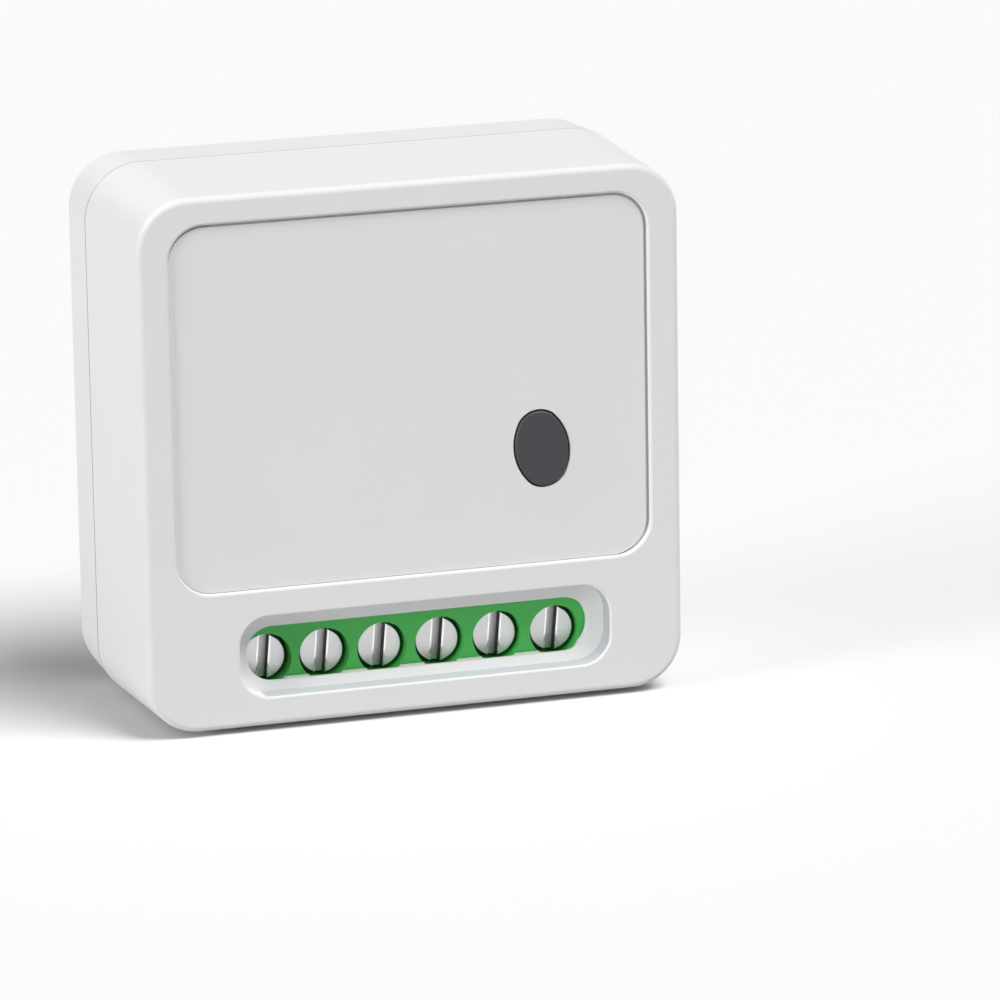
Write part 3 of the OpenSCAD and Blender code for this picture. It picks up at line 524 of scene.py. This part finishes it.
bpy.ops.object.select_all(action="DESELECT")
bpy.ops.mesh.primitive_cylinder_add(
    vertices=head_sides,
    radius=head_radius,
    depth=head_height,
    location=(screw_axis.x, head_face + head_height / 2, screw_axis.z),
    rotation=(math.radians(90), 0, 0),
)
screw = bpy.context.object
bpy.ops.object.transform_apply(location=True, rotation=True, scale=True)
pick_faces(screw, lambda spot, normal: normal.y > facing)
bpy.ops.mesh.inset(thickness=head_radius - shank_radius + thread_height)
bpy.ops.mesh.extrude_region_move(
    TRANSFORM_OT_translate={"value": (0, screw_high.y - head_back - tip_length, 0)},
)
bpy.ops.mesh.extrude_region_move(TRANSFORM_OT_translate={"value": (0, tip_length, 0)})
bpy.ops.transform.resize(
    value=(tip_taper, 1, tip_taper),
    center_override=(screw_axis.x, screw_high.y, screw_axis.z),
)
bpy.ops.object.mode_set(mode="OBJECT")


def slot_cutter(width, depth, foot_width):
    """A bar along the slot, which narrows from its width at the head's face to its foot."""
    outer_width = 2 * width - foot_width
    cutter = add_block(head_middle, (outer_width, 2 * depth, 4 * head_radius))
    pick_faces(cutter, lambda spot, normal: normal.y > facing)
    bpy.ops.transform.resize(value=(foot_width / outer_width, 1, 1), center_override=head_middle)
    bpy.ops.mesh.select_all(action="SELECT")
    bpy.ops.transform.rotate(value=-slot_lean, orient_axis="Y", center_override=head_middle)
    bpy.ops.object.mode_set(mode="OBJECT")
    return cutter


pick_edges(screw, lambda start, end: max(start.y, end.y) < head_face + hair)
bpy.ops.mesh.bevel(offset=rim_chamfer, segments=2, affect="EDGES")
bpy.ops.object.mode_set(mode="OBJECT")
cut_away(screw, slot_cutter(slot_width + 2 * slot_chamfer, chamfer_depth, slot_width))
cut_away(screw, slot_cutter(slot_width, slot_depth, slot_width))


def off_slot(point):
    """How far a point is from the middle line of the slot."""
    across = (point.x - screw_axis.x) * math.cos(slot_lean)
    return abs(across - (point.z - screw_axis.z) * math.sin(slot_lean))


def on_slot_edge(spot, normal):
    """Whether a face is one of the chamfers along the slot."""
    beside = off_slot(spot) < slot_width / 2 + slot_chamfer - hair
    return beside and spot.y < head_face + chamfer_depth


def on_slot_floor(spot, normal):
    """Whether a face is the slot's floor."""
    return normal.y < -facing and head_face + slot_depth / 2 < spot.y < head_back


def on_slot_wall(spot, normal):
    """Whether a face is one of the slot's two walls."""
    return abs(off_slot(spot) - slot_width / 2) < hair and abs(normal.y) < 1 - facing


def on_rim(spot, normal):
    """Whether a face is part of the chamfer round the head."""
    outside = off_axis(spot, screw_axis) > head_radius - rim_chamfer
    return outside and spot.y < head_face + rim_chamfer and -rim_flattest < normal.y < 1 - facing


plated_steel = metal_finish("plated_steel", steel, roughness=0.36, streak_height=1.5e-7, metal=0.75)
painted_highlight_steel = metal_finish("painted_highlight_steel", highlight_white_steel, roughness=0.2, streak_height=1e-7)
sawn_painted_light_steel = metal_finish("sawn_painted_light_steel", slot_floor_light, roughness=0.4, stretch=across_slot, metal=0.5)
painted_shade_steel = metal_finish("painted_shade_steel", painted_shade_dark, roughness=0.5)
screw.data.materials.append(plated_steel)
# Painted highlight: the slot's chamfers get a brighter, glossier steel than the head.
paint_faces(screw, painted_highlight_steel, on_slot_edge)
# Painted light: the slot's floor gets a paler steel than the head, with streaks across the slot.
paint_faces(screw, sawn_painted_light_steel, on_slot_floor)
# Painted shade: the slot's walls and the head's rim get a near-black copy of the screw's steel.
paint_faces(screw, painted_shade_steel, lambda spot, normal: on_slot_wall(spot, normal) or on_rim(spot, normal))
smooth_sides(screw)
thread_end = screw_high.y - tip_length
thread = wind("thread", screw_axis, shank_radius, thread_pitch, head_back, thread_end, sides=4)
thread.data.materials.append(plated_steel)
join_to(screw, thread)
fit_row(screw, "slotted_screw", "terminal_screw", "screw")

# The push switch under the button: a moulded base, a tinned frame clipped over it, a plunger of the
# button's plastic and a snap dome of spring steel. It is soldered to the board.

black = (0.022, 0.022, 0.024)
button_grey = (0.042, 0.045, 0.050)
black_plastic = moulded_finish(
    "black_plastic", black, roughness=0.5, drift=0.08, mottle=0.003, grain_height=3e-6,
)
button_plastic = moulded_finish(
    "button_plastic", button_grey, roughness=0.55, drift=0.05, mottle=0.002, grain=0.00012,
)
dress(black_plastic, "switch_base")
dress(tinned_metal, "switch_frame", "switch_dome")
dress(button_plastic, "switch_plunger")

# The relay: a coil of fine enamelled wire on a black spool, an iron core, yoke and rocking armature,
# and contacts of copper strip, all on a black base. A blue cover with rounded edges is glued over it.

relay_blue = (0.018, 0.070, 0.34)
copper = (0.72, 0.36, 0.19)
enamel = (0.50, 0.17, 0.06)
iron = (0.46, 0.46, 0.45)
cover_edge = 0.0005
relay_wire = 0.00016
wire_sides = 8
outer_share = 0.9
iron_plate = metal_finish("plated_iron", iron, roughness=0.4)
copper_strip = metal_finish("copper_strip", copper, roughness=0.3, stretch=along_strip)
enamelled_wire = metal_finish("enamelled_wire", enamel, roughness=0.3, metal=0.7)
relay_plastic = moulded_finish(
    "relay_plastic", relay_blue, roughness=0.28, drift=0.05, mottle=0.004, grain=0.0002,
)
dress(black_plastic, "relay_base", "relay_bobbin")
dress(iron_plate, "relay_core", "relay_yoke", "relay_armature")
dress(copper_strip, "relay_leaf", "relay_make_contact", "relay_break_contact")
dress(tinned_metal, "relay_coil_pins")


def stand_in(piece, node_name, body_name="case"):
    """Puts a finished piece in the place of its CAD node."""
    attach(piece, body_name)
    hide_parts(node_name)


coil_low, coil_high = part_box("relay_winding")
coil_middle = middle_of("relay_winding")
coil_radius = (coil_high.x - coil_low.x) / 2
bed_share = 1 - relay_wire / coil_radius
coil = take_copy("relay_winding", "relay_coil")
pick_edges(coil, lambda start, end: off_axis(start, coil_middle) > outer_share * coil_radius)
bpy.ops.transform.resize(value=(bed_share, 1, bed_share), center_override=coil_middle)
coil.data.materials.append(enamelled_wire)
smooth_sides(coil)
turns = wind("turns", coil_middle, coil_radius, relay_wire, coil_low.y, coil_high.y, wire_sides)
turns.data.materials.append(enamelled_wire)
join_to(coil, turns)
stand_in(coil, "relay_winding")


def at_corner(point, low, high):
    """Whether a point is at a corner of the box, as seen from the front."""
    aside = min(point.x - low.x, high.x - point.x)
    return aside < hair and min(point.z - low.z, high.z - point.z) < hair


def pick_box_edges(piece, node_name, front):
    """Selects the long edges of a box-shaped node that run back, and those round its front if asked."""
    low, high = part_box(node_name)
    pick_edges(piece, lambda start, end: (
        at_corner(start, low, high)
        and at_corner(end, low, high)
        and (abs(start.y - end.y) > hair or (front and start.y < low.y + hair))
    ))


relay_case = take_copy("relay_cover", "relay_case")
pick_box_edges(relay_case, "relay_cover", front=True)
bpy.ops.mesh.bevel(offset=cover_edge, segments=5, affect="EDGES")
relay_case.data.materials.append(relay_plastic)
smooth_sides(relay_case)
stand_in(relay_case, "relay_cover")

# The mains supply: a fusible resistor, a varistor, a rectifier, two can capacitors, a switching chip
# with its transformer and choke, and a regulator, all soldered to the board by their leads.

sleeve_blue = (0.012, 0.018, 0.060)
can_metal = (0.76, 0.76, 0.77)
can_edge = 0.0003
can_border = 0.00045
bare_share = 0.98
vent_width = 0.00025
vent_depth = 0.00012
sleeve = moulded_finish(
    "capacitor_sleeve", sleeve_blue, roughness=0.3, drift=0.06, mottle=0.004, grain=0.0005,
    grain_height=4e-6,
)
bare_can = metal_finish("bare_can", can_metal, roughness=0.3)
board_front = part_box("main_board")[0].y


def behind_front(spot, normal):
    """Whether a face belongs to the leads, which go through the board."""
    return spot.y > board_front + 10 * hair


def stand_can(node_name):
    """A can in a shrunk sleeve, whose bare top has a cross pressed in as a vent."""
    low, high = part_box(node_name)
    middle = middle_of(node_name)
    radius = (high.x - low.x) / 2
    can = take_copy(node_name, f"sleeved_{node_name}")
    pick_edges(can, lambda start, end: max(start.y, end.y) < low.y + hair)
    bpy.ops.mesh.bevel(offset=can_edge, segments=4, affect="EDGES")
    pick_faces(can, lambda spot, normal: spot.y < low.y + hair)
    bpy.ops.mesh.inset(thickness=can_border)
    bpy.ops.object.mode_set(mode="OBJECT")
    for length, width in ((radius, vent_width), (vent_width, radius)):
        bar = add_block((middle.x, low.y, middle.z), (length, 2 * vent_depth, width))
        cut_away(can, bar)
    bare_radius = bare_share * (radius - can_edge - can_border)
    can.data.materials.append(sleeve)
    paint_faces(can, bare_can, lambda spot, normal: (
        spot.y < low.y + 2 * vent_depth and off_axis(spot, middle) < bare_radius
    ))
    paint_faces(can, tinned_metal, behind_front)
    smooth_sides(can)
    stand_in(can, node_name)


for can_name in ("input_capacitor", "output_capacitor"):
    stand_can(can_name)

ferrite = (0.032, 0.031, 0.030)
tape_yellow = (0.80, 0.55, 0.045)
tape_corner = 0.0009
ferrite_finish = moulded_finish(
    "ferrite", ferrite, roughness=0.6, drift=0.1, mottle=0.0015, grain=0.00015, grain_height=8e-6,
)
coil_tape = moulded_finish(
    "coil_tape", tape_yellow, roughness=0.3, drift=0.05, mottle=0.003, grain=0.0004, grain_height=4e-6,
)
tape = take_copy("transformer_winding", "taped_winding")
pick_box_edges(tape, "transformer_winding", front=False)
bpy.ops.mesh.bevel(offset=tape_corner, segments=6, affect="EDGES")
tape.data.materials.append(coil_tape)
smooth_sides(tape)
stand_in(tape, "transformer_winding")
dress(ferrite_finish, "transformer_core")
dress(black_plastic, "transformer_bobbin")
dress_part("transformer_bobbin", tinned_metal, behind_front)

choke_wire = 0.00028
drum_flange = 0.001
choke_low, choke_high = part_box("choke_coil")
choke_middle = middle_of("choke_coil")
drum_radius = (choke_high.x - choke_low.x) / 2
drum_front = choke_low.y + drum_flange
drum_back = board_front - drum_flange
choke = take_copy("choke_coil", "wound_choke")
choke.data.materials.append(ferrite_finish)
paint_faces(choke, tinned_metal, behind_front)
smooth_sides(choke)
winding = wind("winding", choke_middle, drum_radius, choke_wire, drum_front, drum_back, wire_sides)
winding.data.materials.append(enamelled_wire)
join_to(choke, winding)
stand_in(choke, "choke_coil")

resistor_coat = (0.36, 0.50, 0.42)
band_brown = (0.30, 0.12, 0.03)
band_black = (0.01, 0.01, 0.01)
band_gold = (0.55, 0.40, 0.10)
band_width = 0.0007
band_places = {-0.0028: band_brown, -0.0012: band_black, 0.0004: band_black, 0.0026: band_gold}
coat_half = 0.0042
coat_finish = moulded_finish(
    "resistor_coat", resistor_coat, roughness=0.5, drift=0.05, mottle=0.0012, grain=0.0003,
    grain_height=8e-6,
)
fuse_middle = middle_of("fuse_resistor")
fuse = take_copy("fuse_resistor", "banded_resistor")
fuse.data.materials.append(coat_finish)
bpy.ops.object.mode_set(mode="EDIT")
for band in band_places:
    for side in (-0.5, 0.5):
        bpy.ops.mesh.select_all(action="SELECT")
        band_end = fuse_middle.x + band + side * band_width
        bpy.ops.mesh.bisect(plane_co=(band_end, 0, 0), plane_no=(1, 0, 0))
bpy.ops.object.mode_set(mode="OBJECT")
for number, (band, colour) in enumerate(band_places.items()):
    paint = moulded_finish(f"band_paint_{number}", colour, roughness=0.4, drift=0.06, mottle=0.001)
    paint_faces(fuse, paint, lambda spot, normal: abs(spot.x - fuse_middle.x - band) < band_width / 2)
paint_faces(fuse, tinned_metal, lambda spot, normal: abs(spot.x - fuse_middle.x) > coat_half + hair)
smooth_sides(fuse)
stand_in(fuse, "fuse_resistor")

varistor_coat = (0.030, 0.12, 0.36)
disc_edge = 0.0009
varistor_finish = moulded_finish(
    "varistor_coat", varistor_coat, roughness=0.35, drift=0.06, mottle=0.002, grain=0.0006,
    grain_height=1e-5,
)
disc_low, disc_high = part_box("varistor_disc")
disc = take_copy("varistor_disc", "coated_varistor")
pick_edges(disc, lambda start, end: min(start.x - disc_low.x, disc_high.x - start.x) < hair)
bpy.ops.mesh.bevel(offset=disc_edge, segments=6, affect="EDGES")
disc.data.materials.append(varistor_finish)
paint_faces(disc, tinned_metal, behind_front)
smooth_sides(disc)
stand_in(disc, "varistor_disc")

chip_leg = 0.00075
for chip_name in ("bridge_rectifier", "supply_chip", "regulator_chip", "optocoupler"):
    chip_low, chip_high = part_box(chip_name)
    dress(black_plastic, chip_name)
    dress_part(chip_name, tinned_metal, lambda spot, normal: (
        min(spot.z - chip_low.z, chip_high.z - spot.z) < chip_leg - hair or behind_front(spot, normal)
    ))

# The radio: a small blue board soldered flat on the main one, with a tinned can over its chips and a
# printed aerial at its upper end. The status lamp and the chip parts stand on the main board.

radio_blue = (0.008, 0.022, 0.11)
radio_trace = (0.011, 0.029, 0.14)
gilt = (0.83, 0.62, 0.28)
track_width = 0.0004
track_height = 0.00006
aerial_edge = 0.0007
aerial_height = 0.0024
aerial_legs = 8
aerial_step = 0.00122
gilt_track = metal_finish("gilt_track", gilt, roughness=0.3)
radio_low, radio_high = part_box("radio_board")
radio = take_copy("radio_board", "radio_card")
radio.data.materials.append(board_finish("radio_mask", radio_blue, radio_trace))
paint_faces(radio, fibre_edge, on_board_edge)


def lay_track(middle_x, middle_z, length_x, length_z):
    """A straight length of bare gilt track on the radio board, with its front edges rounded."""
    middle_y = radio_low.y - track_height / 2
    track = add_block((middle_x, middle_y, middle_z), (length_x, track_height, length_z))
    pick_edges(track, lambda start, end: max(start.y, end.y) < middle_y)
    bpy.ops.mesh.bevel(offset=track_height / 2, segments=2, affect="EDGES")
    track.data.materials.append(gilt_track)
    smooth_sides(track)
    join_to(radio, track)


aerial_top = radio_high.z - aerial_edge
aerial_foot = aerial_top - aerial_height
for leg in range(aerial_legs):
    leg_x = radio_low.x + aerial_edge + leg * aerial_step
    lay_track(leg_x, (aerial_top + aerial_foot) / 2, track_width, aerial_height)
    if leg < aerial_legs - 1:
        turn_z = aerial_top if leg % 2 == 0 else aerial_foot
        lay_track(leg_x + aerial_step / 2, turn_z, aerial_step + track_width, track_width)
stand_in(radio, "radio_board")

can_fold = 0.00018
shield = take_copy("radio_shield", "folded_shield")
pick_box_edges(shield, "radio_shield", front=True)
bpy.ops.mesh.bevel(offset=can_fold, segments=4, affect="EDGES")
shield.data.materials.append(tinned_metal)
smooth_sides(shield)
stand_in(shield, "radio_shield")

lamp_white = (0.75, 0.74, 0.66)
ceramic = (0.42, 0.30, 0.18)
lamp_resin = moulded_finish("lamp_resin", lamp_white, roughness=0.2, mottle=0.001)
chip_ceramic = moulded_finish("chip_ceramic", ceramic, roughness=0.45, drift=0.08, mottle=0.0006)
dress(lamp_resin, "status_led")
dress(black_plastic, "chip_resistors")
dress(chip_ceramic, "chip_capacitors")
for chip_row in ("chip_resistors", "chip_capacitors"):
    dress_part(chip_row, tinned_metal, lambda spot, normal: abs(normal.x) > facing)

# The front cover: a deep shell of the same white plastic, with the sunk panel, the button's hole
# and the sunk frame round the terminals moulded in. The frame's slopes are painted paler than the
# shell as painted light, and its walls painted grey as painted shade.

# Painted light: a paler white for the frame's slopes than the shell's own plastic.
slope_painted_light = (0.95, 0.95, 0.95)
# Painted shade: greys for the frame's lower and right-hand walls, which are the shell's white plastic.
low_wall_painted_shade = (0.60, 0.62, 0.65)
side_wall_painted_shade = (0.44, 0.47, 0.49)
wall_steps = 7
# The least share of its normal by which a face leans as a slope or turns as a wall.
slope_turn = 0.3
wall_turn = 0.5
mouth_edge = 0.0002
recess_depth = 0.0017
recess_middle_x = 0.00075
recess_middle_z = 0.0063
recess_half_width = 0.0162
recess_half_height = 0.0036
recess_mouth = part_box("front_cover")[0].y + mouth_edge
recess_floor = recess_mouth + recess_depth


def in_recess(spot):
    """Whether a spot is inside the sunk frame round the terminals."""
    aside = abs(spot.x - recess_middle_x) < recess_half_width
    level = abs(spot.z - recess_middle_z) < recess_half_height
    return aside and level and recess_mouth < spot.y < recess_floor


def on_slope(spot, normal):
    """Whether a face of the frame leans up or down, as its slopes do. The walls are painted after."""
    return in_recess(spot) and abs(normal.z) > slope_turn


def on_wall(spot, normal):
    """Whether a face is part of the frame's lower or right-hand wall, or of the bend between them."""
    upright = abs(normal.y) < slope_turn
    return in_recess(spot) and upright and max(normal.z, -normal.x) > wall_turn


def wall_step(normal):
    """The wall's place in the turn from the lower wall, which faces up, to the right-hand one."""
    turned = math.atan2(-normal.x, normal.z) / math.radians(90)
    return round(min(turned, 1) * (wall_steps - 1))


slope = moulded_finish("slope", slope_painted_light, roughness=0.48, drift=0.006, grain_height=4e-7)
dress(white_plastic, "front_cover")
# Painted light on the frame's slopes.
dress_part("front_cover", slope, on_slope)
# Painted shade on the walls, in steps from the lower wall's grey to the right-hand wall's darker grey.
for step in range(wall_steps):
    share = step / (wall_steps - 1)
    grey = [low + share * (side - low) for low, side in zip(low_wall_painted_shade, side_wall_painted_shade)]
    wall = moulded_finish(f"wall_{step}", grey, roughness=0.55, drift=0.006, grain_height=4e-7)
    dress_part("front_cover", wall, lambda spot, normal: on_wall(spot, normal) and wall_step(normal) == step)

# The film: thin satin plastic sheet, cut a little smaller than the sunk panel. It is stuck into the
# panel's lower left corner, so that a narrow dark gap runs along its top and its right side.

film_white = (0.835, 0.828, 0.822)
film_corner = 0.00297
tight_corner = 0.92
film_edge = 0.00005
film_lift = 0.00008
satin_film = moulded_finish(
    "satin_film", film_white, roughness=0.42, drift=0.006, mottle=0.012, grain=0.00007, grain_height=6e-7,
)
film_low, film_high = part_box("panel_film")
film = take_copy("panel_film", "film")
pick_edges(film, lambda start, end: (
    max(film_high.x - min(start.x, end.x), film_high.z - min(start.z, end.z)) < film_corner + hair
))
bpy.ops.transform.resize(
    value=(tight_corner, 1, tight_corner),
    center_override=(film_high.x, film_low.y, film_high.z),
)
pick_edges(film, lambda start, end: min(start.z, end.z) > film_high.z - film_corner)
bpy.ops.transform.translate(value=(0, 0, film_lift))
pick_edges(film, lambda start, end: max(start.y, end.y) < film_low.y + hair)
bpy.ops.mesh.bevel(offset=film_edge, segments=2, affect="EDGES")
film.data.materials.append(satin_film)
smooth_sides(film)
stand_in(film, "panel_film")

# The button: an oval cap of dark matte plastic on a stem, moulded with its front edge rounded. It
# slides in the panel's hole and rests on the switch's plunger.

button_edge = 0.0002
button_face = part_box("button_cap")[0].y
button = take_copy("button_cap", "oval_button")
pick_edges(button, lambda start, end: max(start.y, end.y) < button_face + hair)
bpy.ops.mesh.bevel(offset=button_edge, segments=5, affect="EDGES")
button.data.materials.append(button_plastic)
smooth_sides(button)
stand_in(button, "button_cap", "button")
